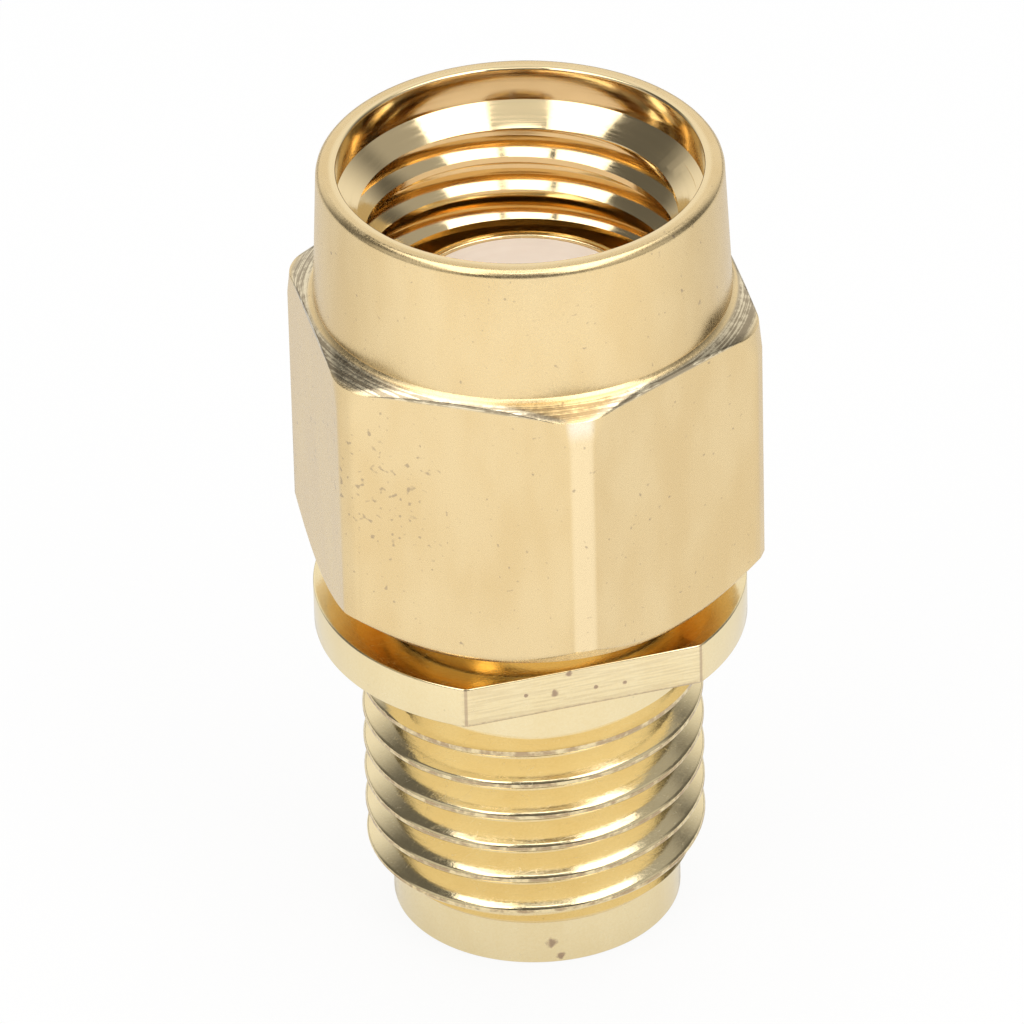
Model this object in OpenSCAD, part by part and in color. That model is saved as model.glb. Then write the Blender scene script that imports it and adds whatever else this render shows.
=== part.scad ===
// Straight coaxial adapter: a plug end with a captive hex coupling nut and, below it, a threaded jack end.
// Millimetres. The axis is Z, from the jack's end face at zero up to the nut's rim.

/* [Thread] */
// Outside diameter of the thread
thread_d = 6.35; // [6.2:0.01:6.6]
// Distance from one turn of the thread to the next
thread_pitch = 0.7056; // [0.6:0.0001:0.85]
// Radial gap between the nut's thread and the thread that it takes
thread_clear = 0.02; // [0.01:0.005:0.06]

/* [Jack end] */
// Diameter of the plain nose ahead of the thread
nose_d = 5.38; // [5.1:0.02:5.7]
// Length of the plain nose
nose_len = 0.93; // [0.5:0.01:1.5]
// Length of the jack's thread, without its lead-in
jack_thread_len = 4.05; // [2.5:0.01:6]
// Plain shank between the thread and the flange
shank_len = 0.66; // [0.3:0.01:2]
// Depth of the mouth, from the end face to the reference plane
mouth_depth = 1.93; // [1.5:0.01:2.5]
// Radial gap between the mouth and the plug sleeve that it takes
mouth_clear = 0.04; // [0.02:0.01:0.1]
// Small chamfer on the body's turned edges
edge_break = 0.06; // [0.02:0.01:0.1]

/* [Flange] */
// Diameter of the flange
flange_d = 8.02; // [7.4:0.01:9]
// Thickness of the flange
flange_t = 0.83; // [0.5:0.01:2]
// Width across the two spanner flats
flats_w = 6.64; // [6.4:0.02:7.2]

/* [Plug end] */
// Bore through the body, which holds the insulators
bore_d = 4.17; // [4:0.01:4.3]
// Wall of the plug's sleeve around the bore
sleeve_wall = 0.205; // [0.15:0.005:0.25]
// Length of the sleeve, from its shoulder to the reference plane
sleeve_len = 2.1; // [1.95:0.01:2.8]
// Length of the neck between the flange and the sleeve's shoulder
neck_len = 3.94; // [3.2:0.01:5]
// Radial gap that lets the neck pass through the nut's thread
neck_slip = 0.1; // [0.04:0.01:0.12]

/* [Coupling nut] */
// Width across the hexagon's flats
hex_w = 7.92; // [7.8:0.02:9]
// Length of the hexagon
hex_len = 5.65; // [5:0.05:8]
// How far the hexagon's corners are turned back
corner_cut = 0.1; // [0.05:0.01:0.25]
// Height of the turned foot below the corners
foot_rise = 0.56; // [0.3:0.02:1]
// How far the turned foot lies inside the flats
foot_inset = 0.09; // [0.02:0.01:0.2]
// Fall of the turned shoulder from the collar to the corners
shoulder_fall = 0.2; // [0.06:0.01:0.3]
// Width of the steep ease at the top of each corner
corner_ease = 0.06; // [0.05:0.01:0.2]
// Height of the steep ease at the top of each corner
ease_len = 0.5; // [0.3:0.05:0.55]
// Length of the round collar above the hexagon
collar_len = 2.62; // [2:0.02:4]
// Wall of the collar around the counterbore
rim_wall = 0.36; // [0.3:0.01:0.42]
// How much wider the collar is at its foot than at its rim
collar_swell = 0.12; // [0.02:0.01:0.16]
// Depth of the plain counterbore
entry_depth = 0.68; // [0.3:0.01:1]
// Radial gap between the counterbore and the thread that passes it
entry_clear = 0.165; // [0.1:0.005:0.25]
// Depth of the cone that leads into the nut's thread
lead_depth = 0.33; // [0.2:0.01:0.6]
// Flat on the crests of the nut's thread
nut_flat = 0.22; // [0.18:0.01:0.26]
// Length of the nut's thread
nut_thread_len = 1.78; // [1.6:0.01:1.8]
// How much deeper than the thread the relief behind it goes
relief_extra = 0.05; // [0.02:0.01:0.1]
// Length of the plain bore at the nut's rear
rear_len = 3.2; // [2.6:0.05:4]
// Radial running gap between the neck and the nut's rear bore
nut_clear = 0.05; // [0.02:0.01:0.08]
// Gap under the nut when it lies on its lower stop
nut_gap = 0.6; // [0.3:0.01:0.8]
// Turn of the nut at rest, in degrees
nut_turn = 26.4; // [0:0.1:60]

/* [Snap ring] */
// Height of the neck's groove above the flange
groove_height = 2.1; // [1.6:0.05:2.4]
// Thickness of the ring along the axis
ring_t = 0.4; // [0.25:0.01:0.6]
// Width of the ring from inside to outside
ring_w = 0.42; // [0.35:0.01:0.5]
// How far the ring reaches into the nut's groove
ring_catch = 0.18; // [0.1:0.01:0.22]
// Room under the ring to fold it while the nut goes on
ring_fold = 0.2; // [0.18:0.01:0.24]
// Width of the gap in the ring
ring_gap = 1.6; // [1:0.1:3]
// Free travel of the ring along the neck's groove
ring_float = 0.25; // [0.1:0.01:0.5]
// Running gap on each side of the ring
ring_clear = 0.02; // [0.01:0.01:0.05]

/* [Insulators and contact] */
// Height of the joint between the insulators above the jack's reference plane
split_height = 5.2; // [4:0.1:7]
// How far the insulators lie behind the reference planes
insulator_set = 0.04; // [0:0.01:0.2]
// Radial gap between the insulators and the bore
insulator_fit = 0.01; // [0.005:0.005:0.03]
// Diameter of the centre contact
contact_d = 1.27; // [1.2:0.01:1.4]
// How far the contact's ends lie behind the reference planes
contact_set = 0.1; // [0:0.01:0.4]
// Radial gap between the contact and the insulators
contact_fit = 0.01; // [0.005:0.005:0.03]
// Diameter of the collar that keeps the contact in place
keeper_d = 2.2; // [1.7:0.05:3]
// Thickness of that collar
keeper_t = 0.8; // [0.4:0.05:1.5]
// Gap on each side of that collar
keeper_clear = 0.01; // [0.005:0.005:0.05]
// Bore of the sockets in the contact's ends
socket_d = 0.94; // [0.88:0.01:1]
// Depth of the sockets
socket_depth = 2.9; // [2.3:0.1:3.4]
// Width of the slots between the socket's fingers
slot_w = 0.15; // [0.08:0.01:0.2]
// Length of the slots
slot_len = 2.1; // [1:0.1:2.2]

/* [Hidden] */
$fn = 64;
past = 1;

// Thread form: flat crests and roots with flanks at 30 degrees to the radius
small_flat = thread_pitch / 8;
root_flat = thread_pitch / 4;
thread_r = thread_d / 2;
thread_root_r = thread_r - (thread_pitch - small_flat - root_flat) / 2 / tan(30);
nut_root_r = thread_r + thread_clear;
nut_crest_r = nut_root_r - (thread_pitch - small_flat - nut_flat) / 2 / tan(30);

// Radii of the body
nose_r = nose_d / 2;
bore_r = bore_d / 2;
sleeve_r = bore_r + sleeve_wall;
mouth_r = sleeve_r + mouth_clear;
flange_r = flange_d / 2;
neck_r = nut_crest_r - neck_slip;

// Radii of the nut and the ring
nut_bore_r = neck_r + nut_clear;
relief_r = nut_root_r + relief_extra;
entry_r = thread_r + entry_clear;
collar_r = entry_r + rim_wall;
collar_foot_r = collar_r + collar_swell;
corner_r = hex_w / 2 / cos(30) - corner_cut;
foot_r = hex_w / 2 - foot_inset;
ring_or = nut_bore_r + ring_catch;
ring_ir = ring_or - ring_w;
neck_groove_r = ring_ir - ring_fold;
nut_groove_r = ring_or + ring_clear;

// Heights of the body
lead_len = thread_r - nose_r;
z_thread = nose_len + lead_len;
z_shank = z_thread + jack_thread_len;
z_flange = z_shank + shank_len;
z_seat = z_flange + flange_t;
z_groove = z_seat + groove_height;
z_ring = z_groove + ring_clear;
z_groove_top = z_ring + ring_t + ring_float + ring_clear;
z_shoulder = z_seat + neck_len;
z_plug_ref = z_shoulder + sleeve_len;

// Heights of the nut
z_nut = z_seat + nut_gap;
z_relief = z_nut + rear_len;
z_hex_top = z_nut + hex_len;
z_rim = z_hex_top + collar_len;
z_entry = z_rim - entry_depth;
z_lead = z_entry - lead_depth;
z_nut_thread = z_lead - nut_thread_len;
z_ease = z_hex_top - shoulder_fall;
ease_r = corner_r - corner_ease;

// Heights of the insulators and the contact
z_split = mouth_depth + split_height;
z_keeper = z_split - keeper_clear - keeper_t;

// Ridges between two heights, as radius and height, starting and ending on a crest
function ridges(low, high, crest_r, root_r, crest_flat) =
    let (flank = abs(crest_r - root_r) * tan(30), root = thread_pitch - crest_flat - 2 * flank)
    [for (i = [0 : floor((high - low - crest_flat) / thread_pitch) - 1])
        let (z = low + crest_flat + i * thread_pitch)
        each [[crest_r, z], [root_r, z + flank], [root_r, z + flank + root], [crest_r, z + 2 * flank + root]]];

// Distance from a turned circle back to the centre of the dome that also passes a wider circle
function dome(inner_r, outer_r, step) = ((outer_r * outer_r - inner_r * inner_r) / step + step) / 2;

// One turned piece: nose, thread, shank, flange with flats, ringed neck and plug sleeve
module body() {
    outside = concat(
        [[mouth_r + edge_break, 0], [nose_r - edge_break, 0], [nose_r, edge_break], [nose_r, nose_len],
         [thread_r, z_thread]],
        ridges(z_thread, z_shank, thread_r, thread_root_r, small_flat),
        [[thread_r, z_flange], [flange_r, z_flange], [flange_r, z_seat], [neck_r, z_seat],
         [neck_r, z_groove], [neck_groove_r, z_groove], [neck_groove_r, z_groove_top],
         [neck_r, z_groove_top], [neck_r, z_shoulder], [sleeve_r, z_shoulder],
         [sleeve_r, z_plug_ref - edge_break], [sleeve_r - edge_break, z_plug_ref]]);
    inside = [[bore_r, z_plug_ref], [bore_r, mouth_depth], [mouth_r, mouth_depth], [mouth_r, edge_break]];
    color([0.88, 0.72, 0.40]) difference() {
        rotate_extrude() polygon(concat(outside, inside));
        for (side = [0, 180])
            rotate([0, 0, side])
                translate([-flange_r - past, flats_w / 2, z_flange - edge_break])
                    cube([2 * (flange_r + past), flange_r, flange_t + 2 * edge_break]);
    }
}

// A ball on the axis through two turned circles, with its centre above or below the inner one
module turned_dome(inner_r, outer_r, step, z, side) {
    back = dome(inner_r, outer_r, step);
    translate([0, 0, z + side * back])
        sphere(r = sqrt(inner_r * inner_r + back * back), $fn = 96);
}

// Hexagon with its corners turned back, a steep foot, a flat shoulder and eased upper corners.
// The wide cylinder keeps the ease's ball from closing in again below its middle.
module turned_hexagon() {
    intersection() {
        translate([0, 0, z_nut])
            cylinder(d = hex_w / cos(30), h = hex_len + collar_len / 2, $fn = 6);
        translate([0, 0, z_nut - past]) cylinder(r = corner_r, h = hex_len + collar_len + past);
        turned_dome(foot_r, corner_r, foot_rise, z_nut, 1);
        turned_dome(collar_foot_r, ease_r, shoulder_fall, z_hex_top, -1);
        union() {
            turned_dome(ease_r, corner_r, ease_len, z_ease, -1);
            translate([0, 0, z_nut - past])
                cylinder(r = corner_r + past, h = z_ease - dome(ease_r, corner_r, ease_len) - z_nut + past);
        }
    }
}

// Hexagon and collar, hollow along the axis
module coupling_nut() {
    collar = [[0, z_nut + hex_len / 2], [collar_foot_r, z_nut + hex_len / 2], [collar_foot_r, z_hex_top],
              [collar_r, z_rim - edge_break], [collar_r - edge_break, z_rim], [0, z_rim]];
    hollow = concat(
        [[0, z_nut - past], [nut_bore_r, z_nut - past], [nut_bore_r, z_ring - ring_clear],
         [nut_groove_r, z_ring - ring_clear], [nut_groove_r, z_ring + ring_t + ring_clear],
         [nut_bore_r, z_ring + ring_t + ring_clear], [nut_bore_r, z_relief], [relief_r, z_relief],
         [relief_r, z_nut_thread - relief_r + nut_crest_r], [nut_crest_r, z_nut_thread]],
        ridges(z_nut_thread, z_lead, nut_crest_r, nut_root_r, nut_flat),
        [[nut_crest_r, z_lead], [entry_r, z_entry], [entry_r, z_rim + past], [0, z_rim + past]]);
    color([0.90, 0.76, 0.46]) rotate([0, 0, nut_turn]) difference() {
        union() {
            turned_hexagon();
            rotate_extrude() polygon(collar);
        }
        rotate_extrude() polygon(hollow);
    }
}

// Split ring, half in the neck's groove and half in the nut's
module snap_ring() {
    color([0.72, 0.58, 0.34]) translate([0, 0, z_ring]) difference() {
        cylinder(r = ring_or, h = ring_t);
        translate([0, 0, -past]) cylinder(r = ring_ir, h = ring_t + 2 * past);
        translate([0, -ring_gap / 2, -past]) cube([ring_or + past, ring_gap, ring_t + 2 * past]);
    }
}

// Insulator behind the plug's rim
module plug_insulator() {
    top = z_plug_ref - insulator_set;
    color([0.93, 0.91, 0.88]) difference() {
        translate([0, 0, z_split]) cylinder(r = bore_r - insulator_fit, h = top - z_split);
        translate([0, 0, z_split - past])
            cylinder(r = contact_d / 2 + contact_fit, h = top - z_split + 2 * past);
    }
}

// Insulator behind the jack's mouth, with the recess for the contact's collar
module jack_insulator() {
    foot = mouth_depth + insulator_set;
    color([0.90, 0.88, 0.85]) difference() {
        translate([0, 0, foot]) cylinder(r = bore_r - insulator_fit, h = z_split - foot);
        translate([0, 0, foot - past])
            cylinder(r = contact_d / 2 + contact_fit, h = z_split - foot + 2 * past);
        translate([0, 0, z_keeper - keeper_clear])
            cylinder(r = keeper_d / 2 + keeper_clear, h = keeper_t + 2 * keeper_clear + past);
    }
}

// Bore and crossed slots of one socket, opening downwards at the origin
module socket_cut() {
    translate([0, 0, -past]) cylinder(d = socket_d, h = socket_depth + past);
    for (turn = [0, 90])
        rotate([0, 0, turn])
            translate([-contact_d, -slot_w / 2, -past])
                cube([2 * contact_d, slot_w, slot_len + past]);
}

// Contact with a socket at each end and the collar that the insulators hold
module centre_contact() {
    low = mouth_depth + contact_set;
    high = z_plug_ref - contact_set;
    color([0.86, 0.68, 0.36]) difference() {
        union() {
            translate([0, 0, low]) cylinder(d = contact_d, h = high - low);
            translate([0, 0, z_keeper]) cylinder(d = keeper_d, h = keeper_t);
        }
        translate([0, 0, low]) socket_cut();
        translate([0, 0, high]) mirror([0, 0, 1]) socket_cut();
    }
}

body();
coupling_nut();
snap_ring();
plug_insulator();
jack_insulator();
centre_contact();
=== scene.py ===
# %% [markdown]
# # A coaxial adapter
# The real adapter is turned from brass bar and plated with gold. A plug with a captive hexagon nut stands on
# top of a threaded jack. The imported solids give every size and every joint. This script dresses them: it
# models the helical threads, the rounded edges and the finishes that the plain solids leave out.

import math

import bmesh
import bpy
from mathutils import Matrix, Quaternion, Vector


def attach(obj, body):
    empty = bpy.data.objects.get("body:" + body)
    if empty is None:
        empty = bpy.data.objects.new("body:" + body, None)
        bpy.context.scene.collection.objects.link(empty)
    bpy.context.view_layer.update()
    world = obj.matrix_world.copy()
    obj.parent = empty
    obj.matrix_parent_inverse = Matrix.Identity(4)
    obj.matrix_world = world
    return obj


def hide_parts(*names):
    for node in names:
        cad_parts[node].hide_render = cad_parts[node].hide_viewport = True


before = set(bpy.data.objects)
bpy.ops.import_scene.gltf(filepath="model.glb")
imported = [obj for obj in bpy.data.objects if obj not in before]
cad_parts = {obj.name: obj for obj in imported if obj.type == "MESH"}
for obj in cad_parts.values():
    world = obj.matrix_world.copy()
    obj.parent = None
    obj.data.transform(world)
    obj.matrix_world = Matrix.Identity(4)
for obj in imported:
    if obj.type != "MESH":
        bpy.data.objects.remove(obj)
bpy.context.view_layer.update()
MM = 0.001

# %% [markdown]
# ## Camera
# The picture was taken with a long lens from a little above, so the sides hardly lean. A long lens from far
# away is set by its picture angle, and the camera is turned a little about its own line of sight because the
# adapter leans in the picture. The aim point is moved sideways, which frames the picture without lens shift.

# %% Set the camera
PICTURE_SIDE = 1024
SENSOR_SIDE = 36.0
FOCAL_PIXELS = 11903.4
AZIMUTH = math.radians(-16.38)
ELEVATION = math.radians(33.46)
ROLL = math.radians(-1.454)
DISTANCE = 219.28 * MM
MIDDLE_HEIGHT = 8.0 * MM
PICTURE_OFFSET = Vector((16.78, 13.17))

middle = Vector((0, 0, MIDDLE_HEIGHT))
side_way = Vector((math.cos(AZIMUTH), math.sin(AZIMUTH), 0))
front_way = Vector((math.sin(AZIMUTH), -math.cos(AZIMUTH), 0))
to_camera = Vector((math.sin(AZIMUTH) * math.cos(ELEVATION), -math.cos(AZIMUTH) * math.cos(ELEVATION),
                    math.sin(ELEVATION)))
eye = middle + DISTANCE * to_camera
straight = to_camera.to_track_quat("Z", "Y") @ Quaternion((0, 0, 1), ROLL)
nudge = Vector((-PICTURE_OFFSET.x, PICTURE_OFFSET.y, 0)) * (DISTANCE / FOCAL_PIXELS)
aim = middle + straight @ nudge

camera_data = bpy.data.cameras.new("camera")
camera_data.sensor_width = SENSOR_SIDE
camera_data.lens = FOCAL_PIXELS / PICTURE_SIDE * SENSOR_SIDE
camera_data.clip_start = 0.01
camera_data.clip_end = 10.0
camera = bpy.data.objects.new("camera", camera_data)
camera.location = eye
camera.rotation_mode = "QUATERNION"
camera.rotation_quaternion = (eye - aim).to_track_quat("Z", "Y") @ Quaternion((0, 0, 1), ROLL)
scene = bpy.context.scene
scene.collection.objects.link(camera)
scene.camera = camera
print("lens in mm:", round(camera_data.lens, 1))

# %% [markdown]
# ## Node helpers
# The light and every finish are node trees. A few small helpers keep them readable: one adds any node and
# joins it up, one does sums, one works on vectors, one turns a value into a soft step, and one mixes colours.

# %% Make the node helpers
def add_node(tree, kind, values=None, links=None, **settings):
    """Add a node, set its properties and sockets, and join its inputs to other nodes' outputs."""
    node = tree.nodes.new(kind)
    for key, value in settings.items():
        setattr(node, key, value)
    for key, value in (values or {}).items():
        node.inputs[key].default_value = value
    for key, socket in (links or {}).items():
        tree.links.new(socket, node.inputs[key])
    return node


def calc(tree, operation, *terms):
    """A sum on numbers and sockets."""
    node = tree.nodes.new("ShaderNodeMath")
    node.operation = operation
    for place, term in zip(node.inputs, terms):
        if isinstance(term, (int, float)):
            place.default_value = term
        else:
            tree.links.new(term, place)
    return node.outputs[0]


def vector_calc(tree, operation, first, second=None, output="Vector"):
    """A sum on a vector socket and, where one is given, a second socket or plain vector."""
    node = add_node(tree, "ShaderNodeVectorMath", links={0: first}, operation=operation)
    if isinstance(second, bpy.types.NodeSocket):
        tree.links.new(second, node.inputs[1])
    elif second is not None:
        node.inputs[1].default_value = second
    return node.outputs[output]


def soft_step(tree, value, start, end, first=0.0, last=1.0):
    """A smooth change from one level to another while a value goes from start to end."""
    ends = {"From Min": start, "From Max": end, "To Min": first, "To Max": last}
    node = add_node(tree, "ShaderNodeMapRange", ends, {"Value": value}, interpolation_type="SMOOTHSTEP")
    return node.outputs["Result"]


def mix_colour(tree, share, first, second):
    """Mix two colours, each a socket or a plain triple."""
    node = add_node(tree, "ShaderNodeMix", links={0: share}, data_type="RGBA")
    for place, colour in ((6, first), (7, second)):
        if isinstance(colour, tuple):
            node.inputs[place].default_value = (*colour, 1)
        else:
            tree.links.new(colour, node.inputs[place])
    return node.outputs[2]


# %% [markdown]
# ## Room
# Metal shows little but what it mirrors, so the room matters more than the lamps' strength. Real walls could
# be built round the adapter, but the world's own light does the same with a few soft steps on the way that a
# ray goes: the paper's bright sweep at the back, dark sides, half-lit walls to the left and right of the
# camera, and a dark front where the camera stands. Overhead it is dark beside the lamps and grey between
# them. The camera itself sees plain white.

# %% Light the room
scene.view_settings.view_transform = "Standard"
scene.cycles.glossy_bounces = 7
GAP_LEVEL = 0.75
DARK_LEFT = 0.13
DARK_RIGHT = 0.42
SIDE_LEVEL = 0.14
FRONT_SIDE_LEVEL = 0.6
SWEEP_LEVEL = 0.95
HORIZON_SHARE = 0.3
GAP_SIDE = (0.2, 0.16)
GAP_FRONT = (0.3, 0.22)
TOP_SPREAD = (-0.2, 0.2)
SWEEP_EDGE = (-0.4, -0.8)
FRONT_SIDE_EDGE = (0.35, 0.6)
FRONT_SIDE_START = (-0.15, 0.1)
HORIZON_EDGE = (0.02, 0.16)
CEILING_EDGE = (0.58, 0.7)
WALL_TINT = (1, 0.99, 0.97, 1)
WHITE = (1, 1, 1, 1)

world = bpy.data.worlds.new("room")
scene.world = world
world.use_nodes = True
room = world.node_tree
room.nodes.clear()
way = add_node(room, "ShaderNodeTexCoord").outputs["Generated"]
across = vector_calc(room, "DOT_PRODUCT", way, side_way, "Value")
along = vector_calc(room, "DOT_PRODUCT", way, front_way, "Value")
up = add_node(room, "ShaderNodeSeparateXYZ", links={0: way}).outputs["Z"]
sideways = calc(room, "ABSOLUTE", across)


def blended(share, first, second):
    """Two levels of the room, the first where the share is 1 and the second where it is 0."""
    return calc(room, "ADD", calc(room, "MULTIPLY", first, share),
                calc(room, "MULTIPLY", second, calc(room, "SUBTRACT", 1, share)))


near_gap = calc(room, "MULTIPLY", soft_step(room, sideways, *GAP_SIDE), soft_step(room, along, *GAP_FRONT))
beside_lamps = soft_step(room, across, *TOP_SPREAD, DARK_LEFT, DARK_RIGHT)
overhead = blended(near_gap, GAP_LEVEL, beside_lamps)
sweep = soft_step(room, along, *SWEEP_EDGE, SIDE_LEVEL, SWEEP_LEVEL)
front_side = calc(room, "MULTIPLY", soft_step(room, sideways, *FRONT_SIDE_EDGE),
                  soft_step(room, along, *FRONT_SIDE_START))
wall = calc(room, "MAXIMUM", sweep, calc(room, "MULTIPLY", front_side, FRONT_SIDE_LEVEL))
low_wall = calc(room, "MULTIPLY", wall, soft_step(room, up, *HORIZON_EDGE, HORIZON_SHARE, 1))
level = blended(soft_step(room, up, *CEILING_EDGE), overhead, low_wall)
walls = add_node(room, "ShaderNodeBackground", {"Color": WALL_TINT}, {"Strength": level})
white = add_node(room, "ShaderNodeBackground", {"Color": WHITE, "Strength": 1.0})
camera_ray = add_node(room, "ShaderNodeLightPath").outputs["Is Camera Ray"]
seen = add_node(room, "ShaderNodeMixShader", links={0: camera_ray, 1: walls.outputs[0], 2: white.outputs[0]})
add_node(room, "ShaderNodeOutputWorld", links={"Surface": seen.outputs[0]})
print("room nodes:", len(room.nodes))

# %% [markdown]
# ## Lamps
# Two long soft lamps hang above the adapter, one on each side, and a short one joins them in front. The flats
# and the thread mirror them as bright bands, so each is an area light whose place, lean and length were read
# from those bands. All three have the same brightness for their size, as lamps of one kind do.

# %% Hang the lamps
LAMP_FAR = 0.35
LAMP_RADIANCE = 2.4
LAMP_WIDTH = 0.142
LAMP_TILT = math.radians(25)
LAMP_SPLAY = math.radians(15)
LAMP_REACH = (math.radians(-25), math.radians(50))
FRONT_LAMP_WIDTH = 0.12
FRONT_LAMP_REACH = (math.radians(15), math.radians(28))


def add_lamp(name, lean, width, reach, splay=0.0):
    """A lamp above the adapter that leans sideways, and reaches from a back to a front angle off upright."""
    towards = side_way * math.sin(lean) + Vector((0, 0, math.cos(lean)))
    width_way = side_way * math.cos(lean) - Vector((0, 0, math.sin(lean)))
    turn = Matrix((width_way, towards.cross(width_way), towards)).transposed()
    turn = turn @ Matrix.Rotation(splay, 3, "Z")
    back, front = (LAMP_FAR * math.tan(angle) for angle in reach)
    data = bpy.data.lights.new(name, "AREA")
    data.shape = "RECTANGLE"
    data.size = width
    data.size_y = front - back
    data.energy = LAMP_RADIANCE * math.pi * width * (front - back)
    lamp = bpy.data.objects.new(name, data)
    centre = middle + LAMP_FAR * towards + (front + back) / 2 * front_way
    lamp.matrix_world = Matrix.Translation(centre) @ turn.to_4x4()
    scene.collection.objects.link(lamp)


add_lamp("left_lamp", -LAMP_TILT, LAMP_WIDTH, LAMP_REACH, -LAMP_SPLAY)
add_lamp("right_lamp", LAMP_TILT, LAMP_WIDTH, LAMP_REACH, LAMP_SPLAY)
add_lamp("front_lamp", 0.0, FRONT_LAMP_WIDTH, FRONT_LAMP_REACH)

# %% [markdown]
# ## Paper
# The paper under the adapter is plain white. Part of it is matt and takes the lamps' shadows, and part is its
# own glow. The camera sees more of the glow, so the picture's ground stays white. The metal mirrors more of
# the matt part, with the adapter's own shadow in it, and a glow that fades from the front of the paper to the
# back. From below the paper is clear, so that the adapter's foot can be looked at.

# %% Lay the white paper
PAPER_R = 0.6
PAPER_WHITE = (0.95, 0.95, 0.95, 1)
CAMERA_GLOW = 0.9
MIRROR_GLOW = 0.6
NEAR_GLOW, FAR_GLOW = 1.2, 0.68
FADE_BACK, FADE_FRONT = -25 * MM, 40 * MM


def to_object(bm, name):
    """Put a bmesh into a new object of the scene."""
    mesh = bpy.data.meshes.new(name)
    bm.to_mesh(mesh)
    bm.free()
    piece = bpy.data.objects.new(name, mesh)
    scene.collection.objects.link(piece)
    return piece


floor_bm = bmesh.new()
bmesh.ops.create_circle(floor_bm, cap_ends=True, segments=64, radius=PAPER_R)
floor = to_object(floor_bm, "floor")
print("paper across in m:", 2 * PAPER_R)

# %% Make the paper's white
paper = bpy.data.materials.new("white_paper")
paper.use_nodes = True
sheet = paper.node_tree
sheet.nodes.clear()
matt = add_node(sheet, "ShaderNodeBsdfDiffuse", {"Color": PAPER_WHITE})
camera_ray = add_node(sheet, "ShaderNodeLightPath").outputs["Is Camera Ray"]
geometry = add_node(sheet, "ShaderNodeNewGeometry").outputs
nearness = vector_calc(sheet, "DOT_PRODUCT", geometry["Position"], front_way, "Value")
fade = soft_step(sheet, nearness, FADE_BACK, FADE_FRONT, FAR_GLOW, NEAR_GLOW)
glow_level = calc(sheet, "MAXIMUM", fade, camera_ray)
glow = add_node(sheet, "ShaderNodeEmission", {"Color": WHITE}, {"Strength": glow_level})
glow_share = soft_step(sheet, camera_ray, 0, 1, MIRROR_GLOW, CAMERA_GLOW)
lit = add_node(sheet, "ShaderNodeMixShader", links={0: glow_share, 1: matt.outputs[0], 2: glow.outputs[0]})
clear = add_node(sheet, "ShaderNodeBsdfTransparent")
face = add_node(sheet, "ShaderNodeMixShader", links={
    0: geometry["Backfacing"], 1: lit.outputs[0], 2: clear.outputs[0]})
add_node(sheet, "ShaderNodeOutputMaterial", links={"Surface": face.outputs[0]})
floor.data.materials.append(paper)
print("paper nodes:", len(sheet.nodes))

# %% [markdown]
# ## Turned pieces
# Nearly everything here is turned on a lathe, so one helper makes it: a closed outline of radius and height
# is drawn in millimetres, the chosen corners are rounded while the outline is still flat, and the outline is
# spun about the axis. Rounding first is cheap and even, and the full spin merges its two ends. A piece with
# flats is spun as one sector and copied round, so its columns stand evenly on every corner.

# %% Make a lathe
SEAM_GAP = 1e-4
AXIS = {"cent": (0, 0, 0), "axis": (0, 0, 1)}


def turn_by(bm, angle):
    """Turn a whole bmesh about the axis."""
    bmesh.ops.rotate(bm, verts=bm.verts, cent=(0, 0, 0), matrix=Matrix.Rotation(angle, 3, "Z"))


def close_up(bm):
    """Merge the seams of a bmesh and point its faces outwards."""
    bmesh.ops.remove_doubles(bm, verts=bm.verts, dist=SEAM_GAP)
    bmesh.ops.recalc_face_normals(bm, faces=bm.faces)


def run(start, end, count):
    """Evenly spaced points from a start towards an end, without the end."""
    return [tuple(a + (b - a) * i / count for a, b in zip(start, end)) for i in range(count)]


def turned(outline, rounds, steps=360, sectors=1, start=0.0):
    """Spin a closed outline of (radius, height) points; rounds pairs an edge radius with points to round."""
    bm = bmesh.new()
    corners = {point: bm.verts.new((point[0], 0, point[1])) for point in outline}
    ring = list(corners.values())
    for first, second in zip(ring, ring[1:] + ring[:1]):
        bm.edges.new((first, second))
    for width, points in rounds:
        bmesh.ops.bevel(bm, geom=[corners[p] for p in points], offset=width, offset_type="OFFSET", segments=4,
                        profile=0.5, affect="VERTICES", clamp_overlap=True, material=-1)
    turn_by(bm, start)
    sector = 2 * math.pi / sectors
    bmesh.ops.spin(bm, geom=bm.verts[:] + bm.edges[:], **AXIS, angle=sector, steps=steps // sectors,
                   use_merge=sectors == 1)
    if sectors > 1:
        bmesh.ops.spin(bm, geom=bm.verts[:] + bm.edges[:] + bm.faces[:], **AXIS,
                       angle=sector * (sectors - 1), steps=sectors - 1, use_duplicate=True)
    close_up(bm)
    return bm


# %% [markdown]
# ## Flats
# A cutter would leave the flats with knife edges, but the real edges were tumbled soft before plating. So the
# flats are pressed in instead: every point beyond a flat moves back to it, and near the edge a smooth minimum
# takes the place of the sharp one. The softness may change with the height, because the shoulder's edges are
# rounder than the corners'.

# %% Make a press for flats
def press_flats(bm, count, turn, limit_at, soft_at):
    """Press flats round the axis; limit_at gives a flat's distance at a place, soft_at its edge's softness."""
    sector = 2 * math.pi / count
    moved = 0
    for v in bm.verts:
        radius = math.hypot(v.co.x, v.co.y)
        limit = limit_at(radius, v.co.z)
        if limit is None:
            continue
        angle = math.atan2(v.co.y, v.co.x) - turn
        off = angle - sector * round(angle / sector)
        reach = radius * math.cos(off)
        soft = soft_at(v.co.z)
        overlap = max(soft - abs(reach - limit), 0) / soft
        pressed = min(reach, limit) - overlap * overlap * soft / 4
        if pressed < reach:
            v.co.xy *= pressed / reach
            moved += 1
    close_up(bm)
    print("flats:", count, "points pressed:", moved)


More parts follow.
